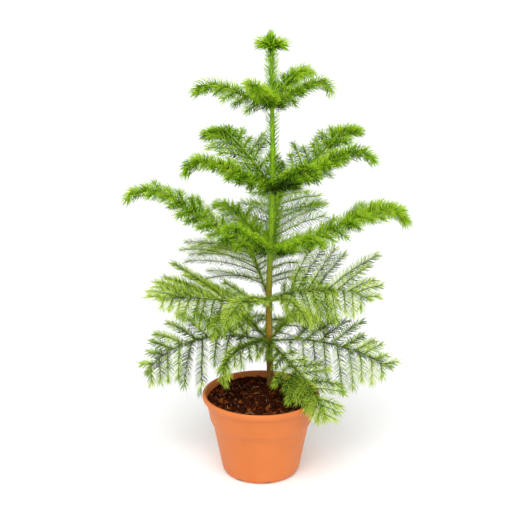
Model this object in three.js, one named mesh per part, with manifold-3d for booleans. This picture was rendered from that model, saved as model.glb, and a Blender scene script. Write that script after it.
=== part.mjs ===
// A young Norfolk Island pine (Araucaria heterophylla) in a terracotta-coloured nursery pot.
// Millimetres, +Z up, origin at the centre of the pot's flat underside.
// The trunk carries five tiers of boughs; tier 1 is the top one. Azimuth 0 is +X, 90 is +Y.
import * as THREE from "three";
import { mergeVertices } from "three/addons/utils/BufferGeometryUtils.js";
import Module from "manifold-3d";

const wasm = await Module();
wasm.setup();

// ---------------------------------------------------------------- sizes
const GAP = 0.3; // clearance between touching pieces

// pot
const RIM_Z = 119;
const RIM_R = 85;
const LIP_DROP = 9; // height of the rolled lip
const COLLAR_TOP_R = 78.6;
const COLLAR_LOW_R = 73.4;
const COLLAR_LOW_Z = 80;
const STEP_Z = 74; // foot of the soft step under the collar
const STEP_R = 69.6;
const BASE_CORNER_R = 56.4; // side wall where the bottom corner begins
const BASE_FLAT_R = 51.2;
const CORNER_Z = 6;
const WALL = 2;
const FLOOR = 2.4;
const POT_SIDES = 32;
const DRAIN_SLOTS = 8;
const DRAIN_FIRST_AZ = 236;
const DRAIN_WIDTH = 9;
const DRAIN_HEIGHT = 3;

// compost
const SOIL_EDGE_Z = 110.5;
const SOIL_MOUND = 4.5;
const MOUND_SPREAD = 22;

// trunk: height, x, y, radius
const TRUNK_BASE_Z = SOIL_EDGE_Z + SOIL_MOUND + GAP;
const TRUNK_TIP_Z = 620;
const TRUNK_KEYS = [
  [TRUNK_BASE_Z, 14.4, 32, 5.9],
  [126, 14.0, 32, 5.0],
  [185, 12.2, 32, 4.7],
  [249, 11.3, 31.5, 4.5],
  [319, 13.3, 31, 4.0],
  [413.5, 16.0, 31, 3.5],
  [524, 15.0, 31, 2.8],
  [603, 13.6, 31, 1.9],
  [TRUNK_TIP_Z, 13.2, 31, 0.8],
];
const TRUNK_SIDES = 8;
const TRUNK_STEPS = 18;

// boughs and foliage
const LIMB_SIDES = 5;
const LIMB_STEPS = 1;
const MASS_FROM = 25; // foliage starts this far out along a bough
const TIP_NEEDLES = 7; // needles reach past the ends of twigs by this much
const HANGING = [84, 66]; // sweep of twigs that hang
const bough = (name, az, length, pitch, extra = {}) => ({
  name, az, length, pitch, roll: 0, reach: 1, sag: null, lift: null, claim: 1, teeth: null, ...extra,
});
// z: height of the tier; curl: how late the bough bends over; teeth: points of the mass
// on each side; longest: longest side twig; full: share of the bough up to which its twigs
// are longest; sweep: angle of the twigs to the bough at its foot and tip; lift: their rise
// out of the frond's plane; sag: droop; brush: half thickness of the needles round a bough;
// fringe: the same round its twigs; limb: radius at the foot.
// A bough's pitch is given at its foot, on the way, and at its tip. Its reach, sag and lift
// may differ on its left and on its right; claim: its share of the room beside it. It may
// have a sweep and a full of its own.
const TIERS = [
  {
    z: 524, curl: 5, teeth: 3, longest: 30, full: 0.22, sweep: [58, 45],
    lift: 5, sag: 0.25, brush: 11, fringe: 8, limb: 2.1,
    boughs: [
      bough("left", 183, 113, [25, 23, -54], { lift: [-45, 10], reach: [1, 0.6] }),
      bough("right", -6, 95, [32, 41, -95], { lift: [10, -25], reach: [0.6, 0.8] }),
      bough("back", 53, 107, [50, 12, -36], { lift: [20, -10], reach: 0.7 }),
      bough("front", 242, 80, [36, 30, 4], { reach: 0.75, teeth: 2 }),
    ],
  },
  {
    z: 413.5, curl: 5, teeth: 5, longest: 46, full: 0.28, sweep: [62, 48],
    lift: 8, sag: 0.35, brush: 11, fringe: 8, limb: 2.5,
    boughs: [
      bough("left_front", 200, 140, [16, 48, -76], { reach: 0.75, lift: [-8, 32] }),
      bough("left_back", 133, 157, [39, 34, -57], { lift: [0, 35], reach: [1.45, 1] }),
      bough("right_back", 37, 178, [10, 64, -30], { lift: [38, 0], reach: [1.1, 1.15] }),
      bough("right_front", -14, 156, [12, 62, -64], { reach: 0.75, lift: [32, -8] }),
      bough("front", 300, 122, [28, 28, -30], { reach: 0.36, teeth: 4 }),
    ],
  },
  {
    z: 319, curl: 6, teeth: 6, longest: 52, full: 0.34, sweep: [62, 48],
    lift: 6, sag: 0.3, brush: 11, fringe: 8, limb: 2.8,
    boughs: [
      bough("left", 182, 228, [19, 55, -61], { reach: [0.74, 0.84], lift: [-12, 42] }),
      bough("right", -3, 211, [15, 45, -80], { reach: [0.95, 0.9], lift: [30, -12], full: 0.62 }),
      bough("back", 84, 178, [28, 30, -30], { reach: [1.5, 1.9], lift: [0, 12] }),
      bough("left_back", 138, 120, [40, 30, -20], { teeth: 5 }),
      bough("left_front", 240, 142, [32, 32, -24], { reach: 0.32, teeth: 4 }),
      bough("right_front", 300, 142, [23, 23, -24], { reach: 0.32, teeth: 4 }),
    ],
  },
  {
    z: 249, curl: 2.5, teeth: 7, longest: 80, full: 0.58, sweep: [60, 42],
    lift: 0, sag: 0.5, brush: 8.5, fringe: 7, limb: 1.5,
    boughs: [
      bough("right", -3, 149, [22, -10, -30], { roll: 32, sag: [0.25, 1.3], lift: [22, -22], reach: [1.1, 0.6] }),
      bough("left", 183, 157, [-10, 45, -12], {
        roll: -25, sag: [1.3, 0.25], lift: [-22, 0], reach: [0.66, 1.2], sweep: [60, 22], full: 0.46,
      }),
      bough("right_back", 43, 150, [2, -8, -30], {
        roll: 35, sag: [0.3, 1.3], lift: [10, -20], reach: [0.35, 0.75], claim: 0.45, teeth: 6,
      }),
      bough("left_back", 106, 160, [32, 26, -12], { reach: 1.45, claim: 1.3 }),
      bough("left_front", 240, 130, [22, 4, -50], { reach: 0.27, teeth: 5 }),
      bough("right_front", 298, 122, [22, 2, -55], { reach: 0.27, teeth: 5 }),
    ],
  },
  {
    z: 185, curl: 2.5, teeth: 7, longest: 88, full: 0.5, sweep: [64, 45],
    lift: -8, sag: 1.0, brush: 8.5, fringe: 7, limb: 1.5,
    boughs: [
      bough("left", 181, 200, [16, -34, -56], { roll: -32, sag: [1.4, 0.2], reach: [0.84, 0.8], claim: 1.3 }),
      bough("right", -2, 186, [9, -40, -28], { roll: 32, sag: [0.2, 1.4], reach: [0.78, 0.82] }),
      bough("right_front", 310, 149, [-24, -26, -54], {
        sag: [0.35, 0.7], lift: [24, -8], reach: [0.8, 0.58], sweep: [80, 50],
      }),
      bough("left_front", 220, 116, [15, -24, -110], { sag: [0.9, 0.8], reach: [0.36, 0.32], teeth: 4 }),
      bough("left_back", 122, 150, [18, 4, -40], { reach: 0.8, teeth: 6 }),
      bough("right_back", 62, 150, [16, 4, -40], { reach: 0.8, teeth: 6 }),
    ],
  },
];

// needles on the leader: name, from, to, radius at each end
const LEADER_SLEEVES = [
  ["foliage_leader_lower", 346, 402, 8, 8.5],
  ["foliage_leader_upper", 440, 512, 10.5, 10],
];
const TOP_SLEEVE = [548, 622, 10, 7];
const TOP_BUD_Z = 627;
const TOP_ARMS = [
  [183, 26, 22], [355, 27, 18], [62, 24, 27], [122, 24, 27], [268, 18, 14],
]; // azimuth, length, pitch of the short shoots round the bud
const TOP_ARMS_Z = 604;

// ---------------------------------------------------------------- helpers
const rad = THREE.MathUtils.degToRad;
const V = (x, y, z) => new THREE.Vector3(x, y, z);
const clamp = (x, a, b) => Math.min(b, Math.max(a, x));
// a size that may differ on the left (way 1) and the right (way -1) of a bough
const onSide = (x, way) => (Array.isArray(x) ? x[way > 0 ? 0 : 1] : x);

// a repeatable number from 0 to 1 for each set of indices
function chance(...n) {
  const k = [12.9898, 78.233, 37.719, 9.131];
  const s = Math.sin(n.reduce((sum, x, i) => sum + x * k[i], 0)) * 43758.5453;
  return s - Math.floor(s);
}

function solid(geometry) {
  const g = geometry.clone();
  g.deleteAttribute("normal");
  g.deleteAttribute("uv");
  const m = mergeVertices(g, 1e-4);
  const make = (tri) =>
    new wasm.Manifold(
      new wasm.Mesh({
        numProp: 3,
        vertProperties: new Float32Array(m.attributes.position.array),
        triVerts: tri,
      }),
    );
  const tri = new Uint32Array(m.index.array);
  const made = make(tri);
  if (made.volume() > 0) return made;
  for (let i = 0; i < tri.length; i += 3)
    [tri[i + 1], tri[i + 2]] = [tri[i + 2], tri[i + 1]];
  return make(tri);
}

function largest(body) {
  return body.decompose().reduce((a, b) => (b.volume() > a.volume() ? b : a));
}

function geometryOf(body) {
  const m = body.getMesh();
  const v = new Float32Array(m.numVert * 3);
  for (let i = 0; i < m.numVert; i++)
    v.set(m.vertProperties.subarray(i * m.numProp, i * m.numProp + 3), i * 3);
  const g = new THREE.BufferGeometry();
  g.setAttribute("position", new THREE.BufferAttribute(v, 3));
  g.setIndex(new THREE.BufferAttribute(new Uint32Array(m.triVerts), 1));
  g.computeVertexNormals();
  return g;
}

// a closed skin over rings of equally many points, with a point in each end
function loft(rings, first, last) {
  const n = rings[0].length;
  const pos = [];
  const tri = [];
  rings.forEach((r) => r.forEach((p) => pos.push(p.x, p.y, p.z)));
  for (let i = 0; i + 1 < rings.length; i++)
    for (let k = 0; k < n; k++) {
      const a = i * n + k;
      const b = i * n + ((k + 1) % n);
      tri.push(a, b, a + n, b, b + n, a + n);
    }
  const f = rings.length * n;
  pos.push(first.x, first.y, first.z, last.x, last.y, last.z);
  const e = (rings.length - 1) * n;
  for (let k = 0; k < n; k++) {
    const k1 = (k + 1) % n;
    tri.push(f, k1, k, f + 1, e + k, e + k1);
  }
  const g = new THREE.BufferGeometry();
  g.setAttribute("position", new THREE.Float32BufferAttribute(pos, 3));
  g.setIndex(tri);
  return g;
}

const middle = (ring) =>
  ring.reduce((s, p) => s.add(p), V(0, 0, 0)).multiplyScalar(1 / ring.length);

function circle(p, u, w, r, n, jitter = () => 1) {
  return Array.from({ length: n }, (_, k) => {
    const a = (k / n) * Math.PI * 2;
    const q = r * jitter(k);
    return p.clone().addScaledVector(u, q * Math.cos(a)).addScaledVector(w, q * Math.sin(a));
  });
}

// ---------------------------------------------------------------- trunk
// smooth course of the trunk: x, y and radius at a height
function trunkAt(z) {
  const k = TRUNK_KEYS;
  const n = k.length;
  let i = 0;
  while (i < n - 2 && z > k[i + 1][0]) i++;
  const slope = (j, c) => {
    const a = Math.max(0, j - 1);
    const b = Math.min(n - 1, j + 1);
    return (k[b][c] - k[a][c]) / (k[b][0] - k[a][0]);
  };
  const h = k[i + 1][0] - k[i][0];
  const t = clamp((z - k[i][0]) / h, 0, 1);
  const out = [1, 2, 3].map(
    (c) =>
      (2 * t ** 3 - 3 * t * t + 1) * k[i][c] +
      (t ** 3 - 2 * t * t + t) * h * slope(i, c) +
      (-2 * t ** 3 + 3 * t * t) * k[i + 1][c] +
      (t ** 3 - t * t) * h * slope(i + 1, c),
  );
  return { p: V(out[0], out[1], z), r: Math.max(0.6, out[2]) };
}

function trunkGeometry(grow = 0, from = TRUNK_BASE_Z, to = TRUNK_TIP_Z) {
  const rings = [];
  for (let i = 0; i <= TRUNK_STEPS; i++) {
    // close steps at the root flare, wide ones above
    const z = from + (to - from) * (i / TRUNK_STEPS) ** 1.35;
    const { p, r } = trunkAt(z);
    rings.push(circle(p, V(1, 0, 0), V(0, 1, 0), r + grow, TRUNK_SIDES));
  }
  return loft(rings, middle(rings[0]), middle(rings[rings.length - 1]));
}
const trunkGrown = solid(trunkGeometry(GAP, TRUNK_BASE_Z - 2, TRUNK_TIP_Z + 1));

// ---------------------------------------------------------------- boughs
// the course of a bough: points and directions at equal steps
function course(tier, b, steps = 48) {
  const a = rad(b.az);
  const [p0, pm, p1] = b.pitch;
  const dir = (t) => {
    const th = rad(p0 + (pm - p0) * t + (p1 - pm) * t ** tier.curl);
    return V(Math.cos(a) * Math.cos(th), Math.sin(a) * Math.cos(th), Math.sin(th));
  };
  const points = [trunkAt(tier.z).p];
  for (let i = 0; i < steps; i++)
    points.push(points[i].clone().addScaledVector(dir((i + 0.5) / steps), b.length / steps));
  return (t) => {
    const s = clamp(t, 0, 1) * steps;
    const i = Math.min(steps - 1, Math.floor(s));
    const d = dir(t);
    const side = V(-Math.sin(a), Math.cos(a), 0);
    const up = d.clone().cross(side).normalize();
    const c = Math.cos(rad(b.roll));
    const n = Math.sin(rad(b.roll));
    return {
      p: points[i].clone().lerp(points[i + 1], s - i),
      d,
      side: side.clone().multiplyScalar(c).addScaledVector(up, n),
      up: up.clone().multiplyScalar(c).addScaledVector(side, -n),
    };
  };
}

const longestOf = (tier) => Math.max(...tier.boughs.map((x) => x.length));

function limb(tier, b) {
  const at = course(tier, b);
  const end = (MASS_FROM - GAP) / b.length;
  const stout = tier.limb * (0.6 + (0.4 * b.length) / longestOf(tier));
  const rings = [];
  for (let i = 0; i <= LIMB_STEPS; i++) {
    const t = (end * i) / LIMB_STEPS;
    const f = at(t);
    const r = stout * (1 - 0.72 * t) * (i === 0 ? 1.3 : 1);
    rings.push(circle(f.p, f.side, f.up, r, LIMB_SIDES));
  }
  return loft(rings, middle(rings[0]), middle(rings[LIMB_STEPS]));
}

// ---------------------------------------------------------------- foliage
// the share of the longest side twig that is reached along a bough
const share = (t, full) =>
  0.14 + 0.86 * Math.min(1, 0.55 + 1.6 * t) * Math.max(0, 1 - Math.max(0, t - full) / (1 - full)) ** 0.8;

// the sector of a bough between its neighbours in the tier, as azimuths
function sector(tier, b) {
  const turn = (x) => ((x % 360) + 360) % 360;
  const room = (way) => {
    const gaps = tier.boughs.filter((x) => x !== b).map((x) => ({ x, gap: turn(way * (x.az - b.az)) }));
    const { x, gap } = gaps.reduce((m, n) => (n.gap < m.gap ? n : m));
    return Math.min(85, (gap * b.claim) / (b.claim + x.claim));
  };
  return [b.az - room(-1), b.az + room(1)];
}

function sectorSolid(tier, b) {
  const [a1, a2] = sector(tier, b).map(rad);
  const mid = (a1 + a2) / 2;
  const c = trunkAt(tier.z).p;
  const off = 0.5 / Math.sin((a2 - a1) / 2);
  const R = 420;
  const P = (a, r) => new THREE.Vector2(
    c.x + off * Math.cos(mid) + r * Math.cos(a),
    c.y + off * Math.sin(mid) + r * Math.sin(a),
  );
  const shape = new THREE.Shape([
    P(mid, 0), P(a1, R), P((a1 + mid) / 2, R * 1.2), P((mid + a2) / 2, R * 1.2), P(a2, R),
  ]);
  return solid(new THREE.ExtrudeGeometry(shape, { depth: 700, bevelEnabled: false }));
}

// one side twig: its points at shares u of its length
function twig(tier, b, at, ids, t, way, length) {
  const f = at(t);
  const sag = onSide(b.sag ?? tier.sag, way);
  const [s0, s1] = sag > 1 ? HANGING : b.sweep ?? tier.sweep;
  const sw = rad(s0 + (s1 - s0) * t + (chance(ids[1], ids[2], way, ids[0]) - 0.5) * 6);
  const li = rad(onSide(b.lift ?? tier.lift, way) * (1 - 0.7 * t));
  const d0 = f.d.clone().multiplyScalar(Math.cos(sw))
    .addScaledVector(f.side, way * Math.sin(sw) * Math.cos(li))
    .addScaledVector(f.up, Math.sin(sw) * Math.sin(li));
  const steps = 10;
  const pts = [{ p: f.p.clone(), d: d0.clone() }];
  for (let i = 0; i < steps; i++) {
    const d = d0.clone().add(V(0, 0, -sag * ((i + 0.5) / steps) ** 1.3)).normalize();
    pts.push({ p: pts[i].p.clone().addScaledVector(d, length / steps), d });
  }
  return (u) => {
    const s = clamp(u, 0, 1) * steps;
    const i = Math.min(steps - 1, Math.floor(s));
    return { p: pts[i].p.clone().lerp(pts[i + 1].p, s - i), d: pts[i + 1].d };
  };
}

// how much of a twig stays inside the bough's sector
function roomInSector(tier, b, curve) {
  const [a1, a2] = sector(tier, b);
  const c = trunkAt(tier.z).p;
  for (let u = 0.1; u <= 1.001; u += 0.05) {
    const { p } = curve(u);
    const turn = (THREE.MathUtils.radToDeg(Math.atan2(p.y - c.y, p.x - c.x)) - b.az + 900) % 360 - 180;
    const reach = Math.hypot(p.x - c.x, p.y - c.y);
    const spare = THREE.MathUtils.radToDeg(3 / reach);
    if (turn > a2 - b.az - spare || turn < a1 - b.az + spare) return u - 0.05;
  }
  return 1;
}

// the mass of a bough: a toothed, drooping frond as thick as its needles
function mass(tier, b, ti, bi, pad = 0) {
  const at = course(tier, b);
  const size = tier.longest * (0.6 + (0.4 * b.length) / longestOf(tier));
  const from = MASS_FROM / b.length;
  const teeth = b.teeth ?? tier.teeth;
  const rings = [];
  const bare = (t, r) => {
    const f = at(t);
    rings.push(circle(f.p, f.side, f.up, r + pad, 8));
  };
  bare(from - pad / b.length, tier.brush * 0.75);
  const gap = (0.95 - from) / teeth;
  for (let j = 0; j < teeth * 2; j++) {
    const full = j % 2 === 1;
    const t = from + (gap * (j + 0.5)) / 2;
    const f = at(t);
    const side = (way) => {
      const len = size * onSide(b.reach, way) * share(t, b.full ?? tier.full) * (0.9 + 0.2 * chance(ti, bi, j, way));
      const curve = twig(tier, b, at, [ti, bi, j], t, way, len);
      let u = roomInSector(tier, b, curve) * (full ? 1 : 0.5);
      if (u * len < tier.brush) u = tier.brush / len;
      const mid = curve(u / 2);
      const end = curve(u);
      const thick = (d) => f.d.clone().cross(d).multiplyScalar(way).normalize();
      const h = tier.fringe * (full ? 1 : 0.75) + pad;
      return {
        tip: end.p.clone().addScaledVector(end.d, (full ? TIP_NEEDLES : 2) + pad),
        top: mid.p.clone().addScaledVector(thick(mid.d), h),
        low: mid.p.clone().addScaledVector(thick(mid.d), -h),
      };
    };
    const l = side(1);
    const r = side(-1);
    const h = tier.brush * (1 - 0.25 * t) + pad;
    const top = f.p.clone().addScaledVector(f.up, h);
    const low = f.p.clone().addScaledVector(f.up, -h);
    rings.push([l.tip, l.top, top, r.top, r.tip, r.low, low, l.low]);
  }
  bare(0.985, tier.brush * 0.62);
  const f = at(1);
  return loft(rings, middle(rings[0]), f.p.clone().addScaledVector(f.d, TIP_NEEDLES + pad));
}

// ---------------------------------------------------------------- pot and compost
const v2 = (r, z) => new THREE.Vector2(r, z);
// outer line of the pot from the underside to the rim
const outer = [
  v2(0, 0), v2(BASE_FLAT_R, 0), v2(BASE_CORNER_R - 2, 2), v2(BASE_CORNER_R, CORNER_Z),
  v2(STEP_R, STEP_Z), v2(COLLAR_LOW_R, COLLAR_LOW_Z), v2(COLLAR_TOP_R, RIM_Z - LIP_DROP - 3),
  v2(RIM_R - 2.4, RIM_Z - LIP_DROP), v2(RIM_R, RIM_Z - LIP_DROP + 3), v2(RIM_R, RIM_Z - 1.6),
  v2(RIM_R - 1.6, RIM_Z),
];
const INNER_TOP_R = RIM_R - 5.2;
const inner = [
  v2(INNER_TOP_R + 1, RIM_Z), v2(INNER_TOP_R, RIM_Z - 1), v2(COLLAR_TOP_R - WALL, RIM_Z - LIP_DROP - 3),
  v2(COLLAR_LOW_R - WALL, COLLAR_LOW_Z), v2(STEP_R - WALL, STEP_Z - 1),
  v2(BASE_CORNER_R - WALL, CORNER_Z + 1), v2(BASE_FLAT_R, FLOOR), v2(0, FLOOR),
];
let potSolid = solid(new THREE.LatheGeometry([...outer, ...inner], POT_SIDES).rotateX(Math.PI / 2));
for (let i = 0; i < DRAIN_SLOTS; i++) {
  // a drain slot through the bottom corner
  const a = rad(DRAIN_FIRST_AZ + (360 * i) / DRAIN_SLOTS);
  const slot = new THREE.BoxGeometry(16, DRAIN_WIDTH, DRAIN_HEIGHT * 2)
    .translate(BASE_FLAT_R + 2, 0, 0)
    .rotateZ(a);
  potSolid = potSolid.subtract(solid(slot));
}

const moundAt = trunkAt(TRUNK_BASE_Z).p;
const soilTop = (x, y) =>
  SOIL_EDGE_Z +
  Math.min(SOIL_MOUND, 7 * Math.exp(-((x - moundAt.x) ** 2 + (y - moundAt.y) ** 2) / (2 * MOUND_SPREAD ** 2)));
function innerRadius(z) {
  for (let i = 0; i + 1 < inner.length; i++)
    if (z <= inner[i].y && z >= inner[i + 1].y && inner[i].y > inner[i + 1].y)
      return THREE.MathUtils.mapLinear(z, inner[i].y, inner[i + 1].y, inner[i].x, inner[i + 1].x);
  return inner[0].x;
}
function soilGeometry() {
  const n = 22;
  const c = Math.cos(Math.PI / POT_SIDES); // keeps the compost inside the flats of the pot
  const levels = [FLOOR + GAP, CORNER_Z + 1, STEP_Z - 1, COLLAR_LOW_Z, SOIL_EDGE_Z];
  const rings = levels.map((z, i) => {
    const r = (i === 0 ? BASE_FLAT_R - 1 : innerRadius(z)) * c - 0.6;
    return circle(V(0, 0, z), V(1, 0, 0), V(0, 1, 0), r, n);
  });
  const edge = innerRadius(SOIL_EDGE_Z) * c - 0.6;
  for (const s of [0.86, 0.7, 0.54, 0.38, 0.2])
    rings.push(circle(V(0, 0, 0), V(1, 0, 0), V(0, 1, 0), edge * s, n).map((p) => p.setZ(soilTop(p.x, p.y))));
  return loft(rings, V(0, 0, FLOOR + GAP), V(0, 0, soilTop(0, 0)));
}

// room that foliage leaves round the pot and above the compost
const potRoom = solid(
  new THREE.LatheGeometry(
    [v2(0, -3), v2(BASE_CORNER_R + 3, -3), v2(COLLAR_LOW_R + 3, COLLAR_LOW_Z), v2(RIM_R + 2, RIM_Z - LIP_DROP - 4),
      v2(RIM_R + 2, RIM_Z + 2), v2(RIM_R - 8, RIM_Z + 2), v2(RIM_R - 12, SOIL_EDGE_Z + 7), v2(0, SOIL_EDGE_Z + 9)],
    36,
  ).rotateX(Math.PI / 2),
);

// ---------------------------------------------------------------- the plant
const plant = new THREE.Group();
const finish = {
  pot: { color: 0xd97f45, roughness: 0.55, metalness: 0 },
  soil: { color: 0x3a2117, roughness: 0.95, metalness: 0 },
  trunk: { color: 0x7a6a3a, roughness: 0.8, metalness: 0 },
  bough: { color: 0x5f7a2c, roughness: 0.75, metalness: 0 },
  foliage: { color: 0x6fa52e, roughness: 0.6, metalness: 0 },
};
function add(name, geometry, kind) {
  const mesh = new THREE.Mesh(geometry, new THREE.MeshStandardMaterial({ ...finish[kind], flatShading: true }));
  mesh.name = name;
  plant.add(mesh);
}

add("pot", geometryOf(potSolid), "pot");
add("soil", geometryOf(solid(soilGeometry())), "soil");
add("trunk", geometryOf(solid(trunkGeometry())), "trunk");

const done = []; // foliage already placed, slightly grown, for cutting the next
const limbs = [];
TIERS.forEach((tier, i) =>
  tier.boughs.forEach((b) => {
    const body = largest(solid(limb(tier, b)).intersect(sectorSolid(tier, b)).subtract(trunkGrown));
    limbs.push({ tier: i, body });
    add(`bough_${i + 1}_${b.name}`, geometryOf(body), "bough");
  }),
);

// needles round the leader, open below, with the trunk running up through them
function sleeve(z0, z1, r0, r1, seed, tip = z1) {
  const rings = [];
  const n = Math.max(3, Math.round((z1 - z0) / 18));
  for (let i = 0; i <= n; i++) {
    const z = z0 + ((z1 - z0) * i) / n;
    const wide = (i === 0 ? 0.7 : 1) * (0.92 + 0.16 * chance(seed, i));
    rings.push(circle(trunkAt(z).p, V(1, 0, 0), V(0, 1, 0), (r0 + ((r1 - r0) * i) / n) * wide, 8,
      (k) => 0.92 + 0.16 * chance(seed, i, k)));
  }
  return solid(loft(rings, middle(rings[0]), middle(rings[n]).setZ(tip)));
}
LEADER_SLEEVES.forEach(([name, z0, z1, r0, r1], i) =>
  add(name, geometryOf(largest(sleeve(z0, z1, r0, r1, 31 + i).subtract(trunkGrown))), "foliage"),
);
let top = sleeve(...TOP_SLEEVE, 41, TOP_BUD_Z);
TOP_ARMS.forEach(([az, length, pitch]) => {
  const a = rad(az);
  const th = rad(pitch);
  const d = V(Math.cos(a) * Math.cos(th), Math.sin(a) * Math.cos(th), Math.sin(th));
  const s = V(-Math.sin(a), Math.cos(a), 0);
  const u = d.clone().cross(s);
  const p = trunkAt(TOP_ARMS_Z).p;
  const ring = (x, r) => circle(p.clone().addScaledVector(d, x), s, u, r, 5);
  const rings = [ring(1, 6), ring(length * 0.45, 7.5), ring(length * 0.8, 6.5)];
  top = top.add(solid(loft(rings, middle(rings[0]), p.clone().addScaledVector(d, length))));
});
add("foliage_leader_top", geometryOf(largest(top.subtract(trunkGrown))), "foliage");

TIERS.forEach((tier, i) =>
  tier.boughs.forEach((b, k) => {
    let body = solid(mass(tier, b, i, k)).intersect(sectorSolid(tier, b));
    done.filter((m) => m.tier === i - 1).forEach((m) => (body = body.subtract(m.body)));
    limbs.filter((m) => m.tier === i - 1 || m.tier === i + 1).forEach((m) => (body = body.subtract(m.body)));
    if (i === TIERS.length - 1) body = body.subtract(potRoom);
    body = largest(body);
    add(`foliage_${i + 1}_${b.name}`, geometryOf(body), "foliage");
    done.push({ tier: i, body: solid(mass(tier, b, i, k, 0.6)).intersect(sectorSolid(tier, b)) });
  }),
);

export default plant;
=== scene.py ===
import math

import bpy
import numpy as np
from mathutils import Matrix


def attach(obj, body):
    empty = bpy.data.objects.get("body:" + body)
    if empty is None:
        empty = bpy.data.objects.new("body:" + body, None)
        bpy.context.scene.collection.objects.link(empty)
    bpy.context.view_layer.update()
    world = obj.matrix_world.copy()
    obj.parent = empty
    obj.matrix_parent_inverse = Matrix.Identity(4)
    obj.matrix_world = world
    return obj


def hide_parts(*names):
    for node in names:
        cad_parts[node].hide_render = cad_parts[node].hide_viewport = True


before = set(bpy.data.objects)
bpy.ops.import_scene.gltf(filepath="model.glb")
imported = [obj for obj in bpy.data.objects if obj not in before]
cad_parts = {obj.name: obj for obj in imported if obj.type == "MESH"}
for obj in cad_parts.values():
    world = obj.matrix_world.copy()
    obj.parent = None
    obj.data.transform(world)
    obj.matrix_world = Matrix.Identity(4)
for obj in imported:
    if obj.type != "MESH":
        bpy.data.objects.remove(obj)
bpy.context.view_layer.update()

MM = 0.001
rng = np.random.default_rng(20261127)

# ------------------------------------------------------------------ sizes (mm)
RIM_Z, RIM_R = 119.0, 85.0
LIP_DROP = 9.0
COLLAR_TOP_R, COLLAR_LOW_R, COLLAR_LOW_Z = 78.6, 73.4, 80.0
STEP_Z, STEP_R = 74.0, 69.6
BASE_CORNER_R, BASE_FLAT_R, CORNER_Z = 56.4, 51.2, 6.0
WALL, FLOOR_T = 2.0, 2.4
DRAIN_SLOTS, DRAIN_FIRST_AZ, DRAIN_WIDTH, DRAIN_HEIGHT = 8, 236.0, 9.0, 3.0
SOIL_EDGE_Z, SOIL_MOUND, MOUND_SPREAD = 110.5, 4.5, 22.0

TRUNK_FOOT_Z, TRUNK_TIP_Z = 112.0, 620.0
TRUNK_KEYS = np.array([
    (115.3, 14.4, 32.0, 5.9), (126.0, 14.0, 32.0, 5.0), (185.0, 12.2, 32.0, 4.7),
    (249.0, 11.3, 31.5, 4.5), (319.0, 13.3, 31.0, 4.0), (413.5, 16.0, 31.0, 3.5),
    (524.0, 15.0, 31.0, 2.8), (603.0, 13.6, 31.0, 1.9), (TRUNK_TIP_Z, 13.2, 31.0, 0.8),
])


def bough(name, az, length, pitch, roll=0.0, reach=1.0, sag=None, lift=None, pairs=None, claim=1.0, feather=None,
          fine=1.0, tone=0.0, star=0, comb=False, dense=1.0, brush=1.0, pale=0.0, bare=3.0,
          sweep=None, full=None, foot=.55, over=0.0, slim=1.0):
    reach = reach if isinstance(reach, tuple) else (reach, reach)
    return dict(name=name, az=az, length=length, pitch=pitch, roll=roll, reach=reach, sag=sag, lift=lift,
                pairs=pairs, claim=claim, feather=feather, fine=fine, tone=tone, star=star, comb=comb, dense=dense,
                brush=brush, pale=pale, bare=bare, sweep=sweep, full=full, foot=foot, over=over, slim=slim)


# Tiers from the top down. full: share of the bough up to which its twigs are longest;
# needle: length, number per mm of twig, spread angle, inward curve, width, turn from one to the next;
# stout: how much longer and closer the needles are on the bough itself;
# age: how old the needles look on the shoot and at its tip, 0 for fresh growth and 1 for old; the needle code adds
# painted shade to this value (darker undersides, darker needles near the trunk).
# A bough's reach, sag and lift are given for the twigs on its left and on its right. A feather has its
# needles in the plane of the frond up to that share of its length, fine ones shorter, and with comb they
# stand above and below the twigs instead; dense: how close the needles are; tone: older or fresher than its tier;
# star: the side with bushy twigs; brush: closer needles on the bough;
# pale: how much paler it is towards its tip; bare: its length without needles at the trunk; claim: its share of the
# room between it and its neighbours; over: degrees that its twigs may pass over the end of that room;
# slim: shorter needles on all of it; foot: share of the length that its first twigs have.
UPPER, LOWER = 135.0, 144.0
HANGING = (84, 66)      # sweep of twigs that hang
FROND_ROWS = np.radians([0, 180, 84, 0, 180, -96, 0, 180, 110])     # needles round a twig, from the frond's plane
COMB_ROWS = np.radians([0, 180, 80, 0, -100, 180])
AXIS = np.array([13.5, 31.3])      # of the trunk, for the shade near it
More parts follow.
